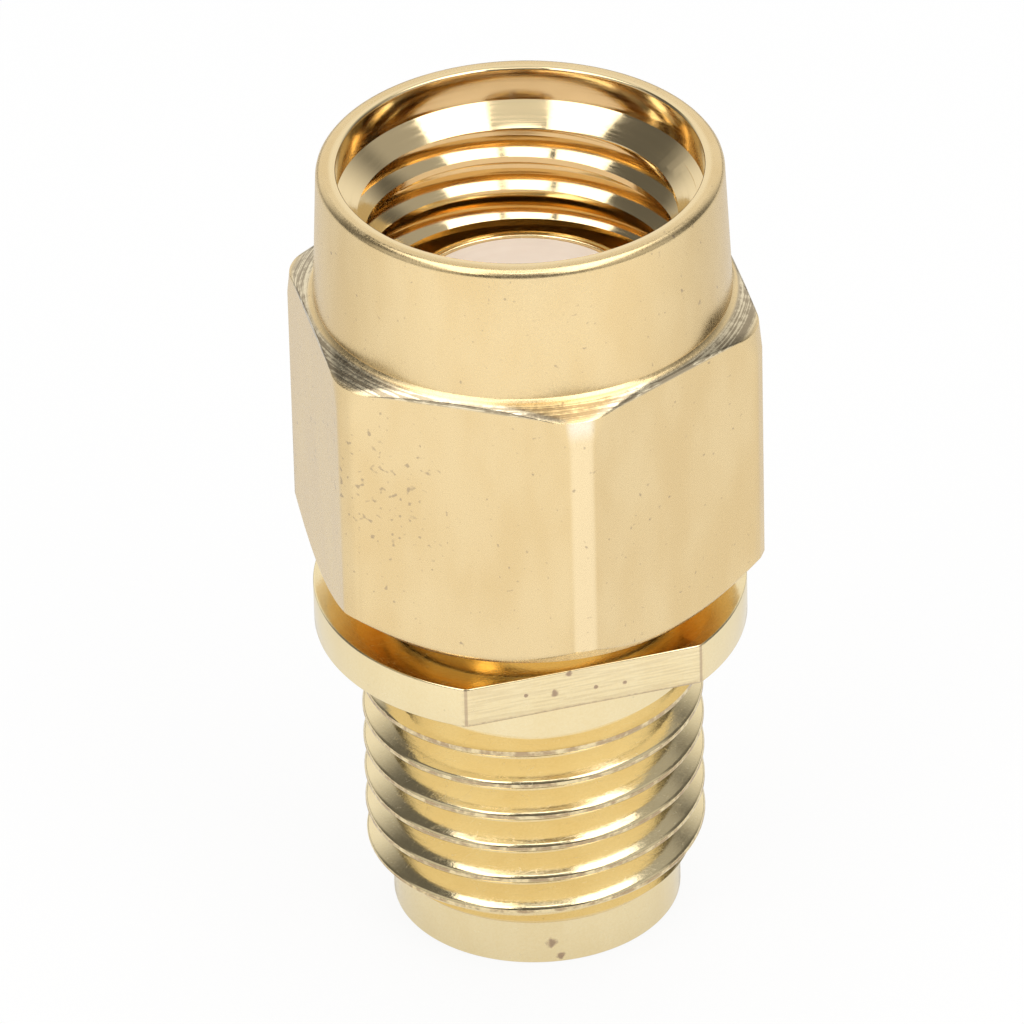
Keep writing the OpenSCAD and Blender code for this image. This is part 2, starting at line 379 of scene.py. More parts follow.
# %% [markdown]
# ## Threads
# A thread is a groove that a pointed tool cuts while it travels along the bar. The same thing is done here:
# the tool's outline is spun several turns with a rise, which gives a helical bar, and that bar is taken out
# of the turned piece with a Boolean. The groove then runs out through the chamfers by itself.

# %% Make a thread cutter
LEAD = 0.7056
FLANK_ANGLE = math.radians(30)
TOOL_STEPS = 90


def helical_tool(half_outline, start_angle, start_z, turns):
    """Sweep a tool along a right-hand helix; its (radius, height) points are mirrored about height 0."""
    bm = bmesh.new()
    outline = [(r, -z) for r, z in reversed(half_outline)] + list(half_outline)
    bm.faces.new([bm.verts.new((r, 0, start_z + z)) for r, z in outline])
    turn_by(bm, start_angle)
    steps = round(turns * TOOL_STEPS)
    bmesh.ops.spin(bm, geom=bm.verts[:] + bm.edges[:] + bm.faces[:], **AXIS, angle=2 * math.pi * turns,
                   dvec=(0, 0, LEAD * turns / steps), steps=steps, use_duplicate=False)
    bmesh.ops.recalc_face_normals(bm, faces=bm.faces)
    return bm


def back_out(bm, start_angle, start_z, first_turn, last_turn, travel):
    """Draw the tool part of the way out along its lower flank between two turns of its path."""
    for v in bm.verts:
        turn = (math.atan2(v.co.y, v.co.x) - start_angle) / (2 * math.pi)
        turn += round((v.co.z - start_z) / LEAD - turn)
        share = min(max((turn - first_turn) / (last_turn - first_turn), 0), 1)
        r = math.hypot(v.co.x, v.co.y)
        v.co.xy *= (r + share * travel) / r
        v.co.z -= share * travel * math.tan(FLANK_ANGLE)


def cut_away(piece, tool):
    """Take the tool's volume out of the piece, keep the result as the piece's own mesh and drop the tool."""
    cut = piece.modifiers.new("cut", "BOOLEAN")
    cut.operation = "DIFFERENCE"
    cut.solver = "MANIFOLD"
    cut.object = tool
    depsgraph = bpy.context.evaluated_depsgraph_get()
    mesh = bpy.data.meshes.new_from_object(piece.evaluated_get(depsgraph))
    piece.modifiers.clear()
    old = piece.data
    piece.data = mesh
    bpy.data.meshes.remove(old)
    bpy.data.meshes.remove(tool.data)
    mesh.name = piece.name
    print(piece.name, "after the cut:", len(mesh.polygons), "faces")


# %% [markdown]
# ## Body
# One bar makes the whole body: nose, thread, shank and flange outside the nut, and inside the nut the neck
# with the snap ring's groove and the plug's thin sleeve. The bore runs right through and widens at the jack's
# mouth. Two flats on the flange take a spanner. It could be put together from cylinders, but one closed
# outline that is spun once has no joints to hide.

# %% Sizes of the body
THREAD_R = 3.175
THREAD_ROOT_R = 2.74
NOSE_R = 2.69
BORE_R = 2.085
SLEEVE_R = 2.29
MOUTH_R = 2.33
FLANGE_R = 4.01
FLANGE_FLAT = 3.32
NECK_R = 2.7508
NECK_GROOVE_R = 2.361
Z_NOSE = 0.93
Z_THREAD = 1.415
Z_MOUTH = 1.93
Z_FLANGE = 6.125
Z_SEAT = 6.955
Z_GROOVE = 9.055
Z_GROOVE_TOP = 9.745
Z_SHOULDER = 10.895
Z_PLUG_FACE = 12.995
print("body length in mm:", Z_PLUG_FACE)

# %% Turn the body and press the flange's flats
MOUTH_EDGE = 0.06
FLANGE_EDGE = 0.035
FINE_EDGE = 0.03
FLAT_SOFTNESS = 0.02
JUST_BEYOND = 0.01
body_outline = [
    (MOUTH_R, 0), (NOSE_R, 0), (NOSE_R, Z_NOSE), (THREAD_R, Z_THREAD), (THREAD_R, Z_FLANGE),
    (FLANGE_R, Z_FLANGE), (FLANGE_R, Z_SEAT), (NECK_R, Z_SEAT), (NECK_R, Z_GROOVE),
    (NECK_GROOVE_R, Z_GROOVE), (NECK_GROOVE_R, Z_GROOVE_TOP), (NECK_R, Z_GROOVE_TOP), (NECK_R, Z_SHOULDER),
    (SLEEVE_R, Z_SHOULDER), (SLEEVE_R, Z_PLUG_FACE), (BORE_R, Z_PLUG_FACE), (BORE_R, Z_MOUTH),
    (MOUTH_R, Z_MOUTH)]
body_bm = turned(body_outline, [
    (MOUTH_EDGE, [(MOUTH_R, 0), (NOSE_R, 0), (SLEEVE_R, Z_PLUG_FACE)]),
    (FLANGE_EDGE, [(FLANGE_R, Z_FLANGE), (FLANGE_R, Z_SEAT)]),
    (FINE_EDGE, [(NOSE_R, Z_NOSE), (BORE_R, Z_PLUG_FACE)])])


def flange_limit(radius, z):
    """The flat follows the flange's own rounded edge, and leaves the rest of the body alone."""
    if radius < THREAD_R + JUST_BEYOND:
        return None
    return FLANGE_FLAT - min(FLANGE_R - radius, FLANGE_EDGE)


press_flats(body_bm, 2, math.pi / 2, flange_limit, lambda z: FLAT_SOFTNESS)
threaded_body = to_object(body_bm, "threaded_body")

# %% [markdown]
# ### The jack's thread
# The crests of this thread are round rather than sharp, so the tool has a round hollow between its point and
# its wide end. At the shank the tool is drawn out along its lower flank within a sixth of a turn, as on a
# lathe, which leaves a short ending of the groove.

# %% Cut the jack's thread
CAMERA_ANGLE = AZIMUTH - math.pi / 2
CREST_ROUND = 0.1
CREST_CLEAR = 0.002
ROOT_HALF_WIDTH = 0.0427
JACK_TOOL_END = (3.4, 0.345)
JACK_GROOVE_Z = 1.883 - 2 * LEAD
JACK_TURNS = 7.55
RUN_OUT_TURNS = (6.83, 7.0)
RUN_OUT_TRAVEL = 0.22
crest_arc = []
for degrees in range(60, 0, -10):
    angle = math.radians(degrees)
    crest_arc.append((THREAD_R + CREST_CLEAR - CREST_ROUND * (1 - math.cos(angle)),
                      LEAD / 2 - CREST_ROUND * math.sin(angle)))
jack_groove = [(THREAD_ROOT_R, ROOT_HALF_WIDTH), *crest_arc, JACK_TOOL_END]
jack_tool = helical_tool(jack_groove, CAMERA_ANGLE, JACK_GROOVE_Z, JACK_TURNS)
back_out(jack_tool, CAMERA_ANGLE, JACK_GROOVE_Z, *RUN_OUT_TURNS, RUN_OUT_TRAVEL)
cut_away(threaded_body, to_object(jack_tool, "jack_tool"))

# %% [markdown]
# ## Coupling nut
# The nut is a hexagon with a round collar, loose on the body. Its corners are turned back, its foot and its
# shoulder are chamfered on the lathe, and the six flats are pressed in last, so the chamfers meet them in the
# curved edges of a real nut. A small step marks the collar's foot. Inside are the counterbore, which narrows
# by a hair towards the rim, the cone that leads into the thread, the thread, the relief behind it, and the
# ring's groove.

# %% Sizes of the nut
NUT_TURN = math.radians(26.4 + 30)
HEX_FLAT = 3.96
FOOT_R = 3.87
CORNER_R = 4.4726
EASE_R = 4.4126
COLLAR_R = 3.70
COLLAR_FOOT_R = 3.82
ENTRY_R = 3.34
NUT_CREST_R = 2.8508
NUT_ROOT_R = 3.195
RELIEF_R = 3.245
NUT_BORE_R = 2.8008
NUT_GROOVE_R = 3.001
Z_NUT = 7.555
Z_FOOT = 8.115
Z_EASE_FOOT = 12.505
Z_EASE = 13.005
Z_HEX_TOP = 13.205
Z_RIM = 15.825
Z_ENTRY = 15.145
Z_LEAD = 14.815
Z_LAST_CREST = 12.9
Z_RELIEF_TOP = 12.5
Z_RELIEF = 10.755
Z_RING_LOW = 9.055
Z_RING_HIGH = 9.495
print("nut length in mm:", round(Z_RIM - Z_NUT, 3))

# %% Turn the nut
RIM_EDGE = 0.14
HOLE_EDGE = 0.05
STEP_OUT, STEP_DOWN = 0.05, 0.017
STEP_IN, STEP_UP = 0.002, 0.025
ENTRY_TIGHT, ENTRY_WIDE = 0.006, 0.013
foot, foot_top = (FOOT_R, Z_NUT), (CORNER_R, Z_FOOT)
ease_foot, ease = (CORNER_R, Z_EASE_FOOT), (EASE_R, Z_EASE)
collar_foot = (COLLAR_FOOT_R + STEP_OUT, Z_HEX_TOP - STEP_DOWN)
foot_edge = (COLLAR_FOOT_R - STEP_IN, Z_HEX_TOP + STEP_UP)
entry_top, entry_foot = (ENTRY_R - ENTRY_TIGHT, Z_RIM), (ENTRY_R + ENTRY_WIDE, Z_ENTRY)
nut_outline = [
    (NUT_BORE_R, Z_NUT), *run(foot, foot_top, 16), *run(foot_top, ease_foot, 2), *run(ease_foot, ease, 12),
    *run(ease, collar_foot, 20), collar_foot, foot_edge, (COLLAR_R, Z_RIM), entry_top, entry_foot,
    (NUT_CREST_R, Z_LEAD), (NUT_CREST_R, Z_LAST_CREST), (RELIEF_R, Z_RELIEF_TOP), (RELIEF_R, Z_RELIEF),
    (NUT_BORE_R, Z_RELIEF), (NUT_BORE_R, Z_RING_HIGH), (NUT_GROOVE_R, Z_RING_HIGH),
    (NUT_GROOVE_R, Z_RING_LOW), (NUT_BORE_R, Z_RING_LOW)]
nut_rounds = [
    (RIM_EDGE, [(COLLAR_R, Z_RIM)]), (HOLE_EDGE, [entry_top, (NUT_BORE_R, Z_NUT)]),
    (FINE_EDGE, [(NUT_CREST_R, Z_LEAD)])]
nut_bm = turned(nut_outline, nut_rounds, steps=720, sectors=6, start=NUT_TURN - math.pi / 6)
print("counterbore's taper in mm:", round(entry_foot[0] - entry_top[0], 3))

# %% Press the nut's flats
Z_PRESS_TOP = Z_HEX_TOP + 0.2
SOFTNESS = [
    (Z_NUT, 0.14), (Z_FOOT, 0.035), (Z_EASE_FOOT, 0.035), (Z_EASE, 0.12), (Z_HEX_TOP, 0.24),
    (Z_HEX_TOP + 0.15, 0.02)]


def hex_limit(radius, z):
    """Only the hexagon and the collar's foot are pressed: the collar above and the hollow stay round."""
    return HEX_FLAT if radius > COLLAR_R and z < Z_PRESS_TOP else None


def hex_soft(z):
    """Softness of the flats' edges: little along the corners, more at the foot, most at the shoulder."""
    for (low, first), (high, last) in zip(SOFTNESS, SOFTNESS[1:]):
        if z <= high:
            return first + (last - first) * (z - low) / (high - low)
    return SOFTNESS[-1][1]


press_flats(nut_bm, 6, NUT_TURN, hex_limit, hex_soft)
hex_nut = to_object(nut_bm, "hex_nut")

# %% [markdown]
# ### The nut's thread
# Inside the nut the tool works outwards: its point is the thread's root, and its flanks open a little towards
# the crests, so that they mirror the lamps as the real ones do. The helix is counted from the far side, the
# one that shows.

# %% Cut the nut's thread
FAR_ANGLE = CAMERA_ANGLE + math.pi
NUT_GROOVE_Z = 13.807 - 3 * LEAD
NUT_TURNS = 5
nut_groove = [
    (NUT_ROOT_R, 0.044), (3.10, 0.0988), (3.05, 0.1345), (2.95, 0.2145), (2.87, 0.2785), (2.849, 0.296),
    (2.6, 0.33)]
nut_tool = helical_tool(nut_groove, FAR_ANGLE, NUT_GROOVE_Z, NUT_TURNS)
cut_away(hex_nut, to_object(nut_tool, "nut_tool"))

# %% [markdown]
# ## Insulators, contact and ring
# Two white beads fill the bore and hold the contact by its collar. The contact has a slotted socket at each
# end. The split ring lies half in the neck's groove and half in the nut's. Little of them shows, but they are
# made in full on the same lathe, because they can be seen from either end and when the part is taken apart.

# %% Turn the insulators
Z_SPLIT = 7.13
BEAD_R = 2.075
CONTACT_HOLE_R = 0.645
KEEPER_HOLE_R = 1.11
Z_KEEPER_HOLE = 6.31
Z_BEAD_LOW = 1.97
Z_BEAD_HIGH = 12.955
BEAD_STEPS = 180
plug_bead = to_object(turned(
    [(CONTACT_HOLE_R, Z_SPLIT), (BEAD_R, Z_SPLIT), (BEAD_R, Z_BEAD_HIGH), (CONTACT_HOLE_R, Z_BEAD_HIGH)],
    [(FINE_EDGE, [(BEAD_R, Z_BEAD_HIGH), (CONTACT_HOLE_R, Z_BEAD_HIGH)])], steps=BEAD_STEPS), "plug_bead")
jack_bead = to_object(turned(
    [(CONTACT_HOLE_R, Z_BEAD_LOW), (BEAD_R, Z_BEAD_LOW), (BEAD_R, Z_SPLIT), (KEEPER_HOLE_R, Z_SPLIT),
     (KEEPER_HOLE_R, Z_KEEPER_HOLE), (CONTACT_HOLE_R, Z_KEEPER_HOLE)],
    [(FINE_EDGE, [(CONTACT_HOLE_R, Z_BEAD_LOW), (BEAD_R, Z_BEAD_LOW)])], steps=BEAD_STEPS), "jack_bead")
print("beads' lengths in mm:", round(Z_BEAD_HIGH - Z_SPLIT, 3), round(Z_SPLIT - Z_BEAD_LOW, 3))

# %% Turn and slot the contact
CONTACT_R = 0.635
SOCKET_R = 0.47
KEEPER_R = 1.1
Z_KEEPER_LOW = 6.32
Z_KEEPER_HIGH = 7.12
Z_CONTACT_LOW = 2.03
Z_CONTACT_HIGH = 12.895
SOCKET_DEPTH = 2.9
DRILL_POINT = 0.2
SLOT_LENGTH = 2.1
SLOT_WIDTH = 0.15
low_floor, high_floor = Z_CONTACT_LOW + SOCKET_DEPTH, Z_CONTACT_HIGH - SOCKET_DEPTH
contact_outline = [
    (0, low_floor + DRILL_POINT), (SOCKET_R, low_floor), (SOCKET_R, Z_CONTACT_LOW),
    (CONTACT_R, Z_CONTACT_LOW), (CONTACT_R, Z_KEEPER_LOW), (KEEPER_R, Z_KEEPER_LOW),
    (KEEPER_R, Z_KEEPER_HIGH), (CONTACT_R, Z_KEEPER_HIGH), (CONTACT_R, Z_CONTACT_HIGH),
    (SOCKET_R, Z_CONTACT_HIGH), (SOCKET_R, high_floor), (0, high_floor - DRILL_POINT)]
contact_rounds = [(HOLE_EDGE, [(SOCKET_R, Z_CONTACT_LOW), (CONTACT_R, Z_CONTACT_LOW),
                               (CONTACT_R, Z_CONTACT_HIGH), (SOCKET_R, Z_CONTACT_HIGH)])]
contact = to_object(turned(contact_outline, contact_rounds, steps=120), "slotted_contact")
for z in (Z_CONTACT_LOW, Z_CONTACT_HIGH):
    for angle in (0, math.pi / 2):
        slot_bm = bmesh.new()
        bmesh.ops.create_cube(slot_bm, size=1)
        bmesh.ops.scale(slot_bm, vec=(2, SLOT_WIDTH, 2 * SLOT_LENGTH), verts=slot_bm.verts)
        turn_by(slot_bm, angle)
        bmesh.ops.translate(slot_bm, verts=slot_bm.verts, vec=(0, 0, z))
        cut_away(contact, to_object(slot_bm, "slot_tool"))

# %% Bend the snap ring
RING_IR = 2.561
RING_OR = 2.981
Z_RING = 9.075
RING_T = 0.4
RING_GAP = 1.6
half_gap = math.asin(RING_GAP / (RING_IR + RING_OR))
ring_bm = bmesh.new()
ring_bm.faces.new([ring_bm.verts.new((r, 0, z)) for r, z in (
    (RING_IR, Z_RING), (RING_OR, Z_RING), (RING_OR, Z_RING + RING_T), (RING_IR, Z_RING + RING_T))])
bmesh.ops.bevel(ring_bm, geom=ring_bm.verts[:], offset=HOLE_EDGE, offset_type="OFFSET", segments=3,
                profile=0.5, affect="VERTICES", material=-1)
turn_by(ring_bm, half_gap)
bmesh.ops.spin(ring_bm, geom=ring_bm.verts[:] + ring_bm.edges[:] + ring_bm.faces[:], **AXIS,
               angle=2 * (math.pi - half_gap), steps=180, use_duplicate=False)
bmesh.ops.recalc_face_normals(ring_bm, faces=ring_bm.faces)
split_ring = to_object(ring_bm, "split_ring")
print("ring's gap in degrees:", round(math.degrees(2 * half_gap), 1))

# %% [markdown]
# ## On the bodies
# Every piece takes the place of its plain solid and moves with that solid's body: the nut turns, and the nut
# and its ring slide a little along the neck. A turned piece is smooth round the axis and sharp at its tool
# marks, so only edges with a small angle are shaded smooth, and the large faces lead the shading.

# %% Hang every piece on its body
SMOOTH_LIMIT = math.radians(28)


def finish_piece(piece, body, node):
    """Scale a piece from millimetres to metres, shade it, and hang it on its body in place of its solid."""
    bm = bmesh.new()
    bm.from_mesh(piece.data)
    bmesh.ops.scale(bm, vec=(MM, MM, MM), verts=bm.verts)
    for f in bm.faces:
        f.smooth = True
    for e in bm.edges:
        e.smooth = e.calc_face_angle(0) < SMOOTH_LIMIT
    open_edges = sum(1 for e in bm.edges if len(e.link_faces) != 2)
    bm.to_mesh(piece.data)
    bm.free()
    shading = piece.modifiers.new("even_shading", "WEIGHTED_NORMAL")
    shading.keep_sharp = True
    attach(piece, body)
    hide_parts(node)
    print(piece.name, "faces:", len(piece.data.polygons), "open edges:", open_edges)


finish_piece(threaded_body, "adapter_body", "body")
finish_piece(hex_nut, "nut", "coupling_nut")
finish_piece(plug_bead, "adapter_body", "plug_insulator")
finish_piece(jack_bead, "adapter_body", "jack_insulator")
finish_piece(contact, "adapter_body", "centre_contact")
finish_piece(split_ring, "ring", "snap_ring")

# %% [markdown]
# ## Marks that the finishes share
# Every finish here is built from a few kinds of marks: the lathe's fine rings, the grain and clouds of the
# plating, specks of dirt, hairline scratches, round stains, and wear where a thread's crests rub. Each is a
# node group that puts out a mask between 0 and 1, so that a finish can use it for colour, gloss or relief.
# Places are in millimetres, which keeps the numbers of the groups close to the drawing's.

# %% Make the group helpers
FLOAT, VECTOR = "NodeSocketFloat", "NodeSocketVector"


def new_group(name, inputs, outputs):
    """Start a node group with a place, named number or vector inputs with defaults, and float outputs."""
    tree = bpy.data.node_groups.new(name, "ShaderNodeTree")
    tree.interface.new_socket("Place", in_out="INPUT", socket_type=VECTOR)
    for label, kind, value in inputs:
        socket = tree.interface.new_socket(label, in_out="INPUT", socket_type=kind)
        if value is not None:
            socket.default_value = value
    for label in outputs:
        tree.interface.new_socket(label, in_out="OUTPUT", socket_type=FLOAT)
    print("group:", name)
    return tree, tree.nodes.new("NodeGroupInput").outputs, tree.nodes.new("NodeGroupOutput").inputs


def use_group(tree, group, place, **values):
    """Put a group into a tree, join its place, set or join its other inputs, and give back its outputs."""
    node = tree.nodes.new("ShaderNodeGroup")
    node.node_tree = group
    tree.links.new(place, node.inputs["Place"])
    for key, value in values.items():
        entry = node.inputs[key.replace("_", " ").title()]
        if isinstance(value, bpy.types.NodeSocket):
            tree.links.new(value, entry)
        else:
            entry.default_value = value
    return node.outputs


def lathe_values(tree, place):
    """Radius, height, and the unit vector round the axis, of a place."""
    level = vector_calc(tree, "MULTIPLY", place, (1, 1, 0))
    radius = vector_calc(tree, "LENGTH", level, output="Value")
    round_way = vector_calc(tree, "NORMALIZE", level)
    height = add_node(tree, "ShaderNodeSeparateXYZ", links={0: place}).outputs["Z"]
    return radius, height, round_way


def noise(tree, place, scale, detail, roughness=0.5):
    """Plain noise at a place; the scale is a number or a socket."""
    node = add_node(tree, "ShaderNodeTexNoise", {"Detail": detail, "Roughness": roughness}, {"Vector": place})
    if isinstance(scale, bpy.types.NodeSocket):
        tree.links.new(scale, node.inputs["Scale"])
    else:
        node.inputs["Scale"].default_value = scale
    return node.outputs["Fac"]


# %% Group for the lathe's rings
turning_marks, given, result = new_group(
    "turning_marks", [("Fineness", FLOAT, 20.0), ("Wander", FLOAT, 1.5)], ["Marks"])
radius, height, round_way = lathe_values(turning_marks, given["Place"])
parts = add_node(turning_marks, "ShaderNodeSeparateXYZ", links={0: round_way}).outputs
ring_place = add_node(turning_marks, "ShaderNodeCombineXYZ", links={
    "X": calc(turning_marks, "MULTIPLY", radius, given["Fineness"]),
    "Y": calc(turning_marks, "MULTIPLY", height, given["Fineness"]),
    "Z": calc(turning_marks, "MULTIPLY", parts["X"], given["Wander"])}).outputs[0]
rings = add_node(turning_marks, "ShaderNodeTexNoise", {"Scale": 1.0, "Detail": 2.0, "Roughness": 0.6}, {
    "Vector": ring_place, "W": calc(turning_marks, "MULTIPLY", parts["Y"], given["Wander"])},
    noise_dimensions="4D").outputs["Fac"]
turning_marks.links.new(soft_step(turning_marks, rings, 0.3, 0.7), result["Marks"])

# %% Group for the plating's grain and clouds
plate_grain, given, result = new_group(
    "plate_grain", [("Grain Size", FLOAT, 0.05), ("Cloud Size", FLOAT, 1.6)], ["Grain", "Clouds"])
drawn = vector_calc(plate_grain, "MULTIPLY", given["Place"], (1, 1, 0.4))
for label, size, detail, where in (("Grain", "Grain Size", 1.0, given["Place"]),
                                   ("Clouds", "Cloud Size", 2.0, drawn)):
    spread = noise(plate_grain, where, calc(plate_grain, "DIVIDE", 1.0, given[size]), detail, 0.55)
    plate_grain.links.new(soft_step(plate_grain, spread, 0.3, 0.7), result[label])

# %% Group for specks of dirt
dirt_specks, given, result = new_group(
    "dirt_specks", [("Size", FLOAT, 0.09), ("Share", FLOAT, 0.3)], ["Mask"])
spots = noise(dirt_specks, given["Place"], calc(dirt_specks, "DIVIDE", 1.0, given["Size"]), 0.5)
over = calc(dirt_specks, "SUBTRACT", spots, calc(dirt_specks, "SUBTRACT", 0.86, given["Share"]))
dirt_specks.links.new(soft_step(dirt_specks, over, 0.0, 0.13), result["Mask"])

# %% Group for hairline scratches
hairlines, given, result = new_group("hairlines", [("Width", FLOAT, 0.02)], ["Mask"])
layers = []
for turn in ((0.4, 1.1, 0.3), (1.3, 0.2, 2.1)):
    laid = add_node(hairlines, "ShaderNodeMapping", {"Rotation": turn, "Scale": (0.35, 5.0, 5.0)},
                    {"Vector": given["Place"]}).outputs[0]
    near = calc(hairlines, "ABSOLUTE", calc(hairlines, "SUBTRACT", noise(hairlines, laid, 1.0, 0.0), 0.62))
    share = calc(hairlines, "DIVIDE", near, given["Width"])
    layers.append(soft_step(hairlines, share, 1.0, 0.2))
hairlines.links.new(calc(hairlines, "MAXIMUM", *layers), result["Mask"])

# %% Group for one stain
stain_spot, given, result = new_group(
    "stain_spot", [("Centre", VECTOR, None), ("Size", FLOAT, 0.12), ("Wobble", FLOAT, 0.5)], ["Mask"])
gone = vector_calc(stain_spot, "DISTANCE", given["Place"], given["Centre"], "Value")
ragged = calc(stain_spot, "ADD", calc(stain_spot, "DIVIDE", gone, given["Size"]),
              calc(stain_spot, "MULTIPLY", calc(stain_spot, "SUBTRACT", given["Wobble"], 0.5), 1.3))
stain_spot.links.new(soft_step(stain_spot, ragged, 1.1, 0.45), result["Mask"])

# %% Group for wear on a thread's crests
crest_wear, given, result = new_group(
    "crest_wear", [("Start", FLOAT, 3.12), ("Full", FLOAT, 3.17)], ["Mask"])
radius, _, _ = lathe_values(crest_wear, given["Place"])
reach = add_node(crest_wear, "ShaderNodeMapRange", links={
    "Value": radius, "From Min": given["Start"], "From Max": given["Full"]}, interpolation_type="SMOOTHSTEP")
patch = noise(crest_wear, given["Place"], 3.5, 3.0, 0.65)
worn = calc(crest_wear, "MULTIPLY", reach.outputs["Result"], soft_step(crest_wear, patch, 0.36, 0.6))
crest_wear.links.new(worn, result["Mask"])

# %% [markdown]
# ## Gold plate of the nut
# The nut is satin outside, where it was tumbled, and bright inside, where only the lathe's tools touched it.
# Grey-brown specks sit in the grain, most of them on one flat. The shoulder is grey in patches, partly from
# its rough turning and partly as painted shade, and one corner carries a painted highlight, pale along its
# edge and whiter towards its top. A picture wrapped round the nut could show all that from one side only, so
# the marks are masks on the nut's own coordinates, and they hold from every side.

# %% Start a finish
def new_finish(name):
    """Start a material on its own coordinates in millimetres: its tree, its shader and its place."""
    material = bpy.data.materials.new(name)
    material.use_nodes = True
    tree = material.node_tree
    shader = tree.nodes["Principled BSDF"]
    own = add_node(tree, "ShaderNodeTexCoord").outputs["Object"]
    scaled = add_node(tree, "ShaderNodeMapping", {"Scale": (1 / MM, 1 / MM, 1 / MM)}, {"Vector": own})
    print("finish:", name)
    return material, tree, shader, scaled.outputs[0]


def add_relief(tree, shader, height, depth):
    """Feed a height between 0 and 1 to the shader's normal, at a depth in millimetres."""
    bump = add_node(tree, "ShaderNodeBump", {"Strength": 1.0, "Distance": depth * MM}, {"Height": height})
    tree.links.new(bump.outputs[0], shader.inputs["Normal"])


def weighted(tree, *terms):
    """A sum of sockets, each with its weight, on top of a first number or socket."""
    total = terms[0]
    for socket, weight in terms[1:]:
        total = calc(tree, "ADD", calc(tree, "MULTIPLY", socket, weight), total)
    return total


# %% Masks of the nut's plate
INSIDE_EDGE = (3.50, 3.42)
SPECK_CLUSTER = (-3.55, -2.42, 10.8)
CLUSTER_EDGE = (1.9, 0.5)
CLUSTER_SHARES = (0.14, 0.23)
# One corner gets a painted highlight: the next values and the corner's angle below set its skin, spread and
# place.
HIGHLIGHT_SKIN = (4.435, 4.4715)
HIGHLIGHT_SPREAD = (0.95, 0.98)
EASE_SLOPE = 0.12
SHOULDER_RISE = (13.0, 13.06)
SHOULDER_RIM = (3.88, 3.96)
HIGHLIGHT_CORNER = NUT_TURN + math.radians(30 + 180)
nut_gold, tree, shader, place = new_finish("satin_gold_plate")
radius, height, round_way = lathe_values(tree, place)
inside = soft_step(tree, radius, *INSIDE_EDGE)
outside = calc(tree, "SUBTRACT", 1.0, inside)
grain = use_group(tree, plate_grain, place, grain_size=0.045, cloud_size=1.0)
away = vector_calc(tree, "DISTANCE", place, SPECK_CLUSTER, "Value")
speck_share = soft_step(tree, away, *CLUSTER_EDGE, *CLUSTER_SHARES)
specks = use_group(tree, dirt_specks, place, size=0.1, share=speck_share)["Mask"]
marks = use_group(tree, turning_marks, place, fineness=22.0, wander=1.2)["Marks"]
dirt = calc(tree, "MULTIPLY", calc(tree, "MULTIPLY", specks, outside), 0.6)
above_ease = calc(tree, "MAXIMUM", calc(tree, "SUBTRACT", height, Z_EASE_FOOT), 0.0)
highlight_reach = calc(tree, "ADD", radius, calc(tree, "MULTIPLY", above_ease, EASE_SLOPE))
# Painted highlight: a pale band down one corner, up to the ease above it.
highlight_way = Vector((math.cos(HIGHLIGHT_CORNER), math.sin(HIGHLIGHT_CORNER), 0))
facing = vector_calc(tree, "DOT_PRODUCT", round_way, highlight_way, "Value")
corner_highlight = calc(tree, "MULTIPLY", soft_step(tree, highlight_reach, *HIGHLIGHT_SKIN),
              soft_step(tree, facing, *HIGHLIGHT_SPREAD))
on_shoulder = calc(tree, "MULTIPLY", soft_step(tree, height, *SHOULDER_RISE),
                   soft_step(tree, radius, *SHOULDER_RIM))
# The shoulder's grey patches are partly its rough turning and partly painted shade in the recess between
# collar and flats.
streaked = weighted(tree, 0.0, (noise(tree, place, 7.0, 2.0, 0.6), 0.5), (marks, 0.5))
mottle_and_shade = calc(tree, "MULTIPLY", soft_step(tree, streaked, 0.32, 0.58), on_shoulder)
print("nodes of the nut's masks:", len(tree.nodes))

# %% Colour and gloss of the nut's plate
DEEP_GOLD = (0.80, 0.60, 0.31)
PALE_GOLD = (0.87, 0.68, 0.38)
# Colours of the corner's painted highlight, pale gold turning whiter towards its top.
HIGHLIGHT_GOLD = (0.92, 0.735, 0.44)
TOP_HIGHLIGHT_GOLD = (1.0, 0.90, 0.70)
BORE_GOLD = (0.90, 0.72, 0.42)
SPECK_BROWN = (0.36, 0.28, 0.20)
SHOULDER_PALE = (0.85, 0.74, 0.52)
SHOULDER_SHADE_GREY = (0.24, 0.18, 0.11)
HIGHLIGHT_RISE = (12.55, 12.95)
cloudy = weighted(tree, 0.0, (grain["Clouds"], 0.8), (grain["Grain"], 0.2))
highlight_colour = mix_colour(tree, soft_step(tree, height, *HIGHLIGHT_RISE), HIGHLIGHT_GOLD, TOP_HIGHLIGHT_GOLD)
gold = mix_colour(tree, cloudy, DEEP_GOLD, PALE_GOLD)
gold = mix_colour(tree, corner_highlight, gold, highlight_colour)
gold = mix_colour(tree, inside, gold, BORE_GOLD)
gold = mix_colour(tree, on_shoulder, gold, SHOULDER_PALE)
# Grey patches on the shoulder: rough turning and painted shade together.
gold = mix_colour(tree, calc(tree, "MULTIPLY", mottle_and_shade, 0.75), gold, SHOULDER_SHADE_GREY)
tree.links.new(mix_colour(tree, dirt, gold, SPECK_BROWN), shader.inputs["Base Color"])
shader.inputs["Metallic"].default_value = 1.0
satin = weighted(tree, 0.20, (grain["Grain"], 0.09), (grain["Clouds"], 0.05), (on_shoulder, -0.08))
bright = weighted(tree, 0.07, (marks, 0.07))
gloss = calc(tree, "ADD", calc(tree, "MULTIPLY", satin, outside), calc(tree, "MULTIPLY", bright, inside))
tree.links.new(gloss, shader.inputs["Roughness"])
relief = weighted(tree, 0.0, (calc(tree, "MULTIPLY", marks, inside), 0.08),
                  (calc(tree, "MULTIPLY", grain["Grain"], outside), 0.12))
add_relief(tree, shader, relief, 0.001)
print("nodes of the nut's plate:", len(tree.nodes))
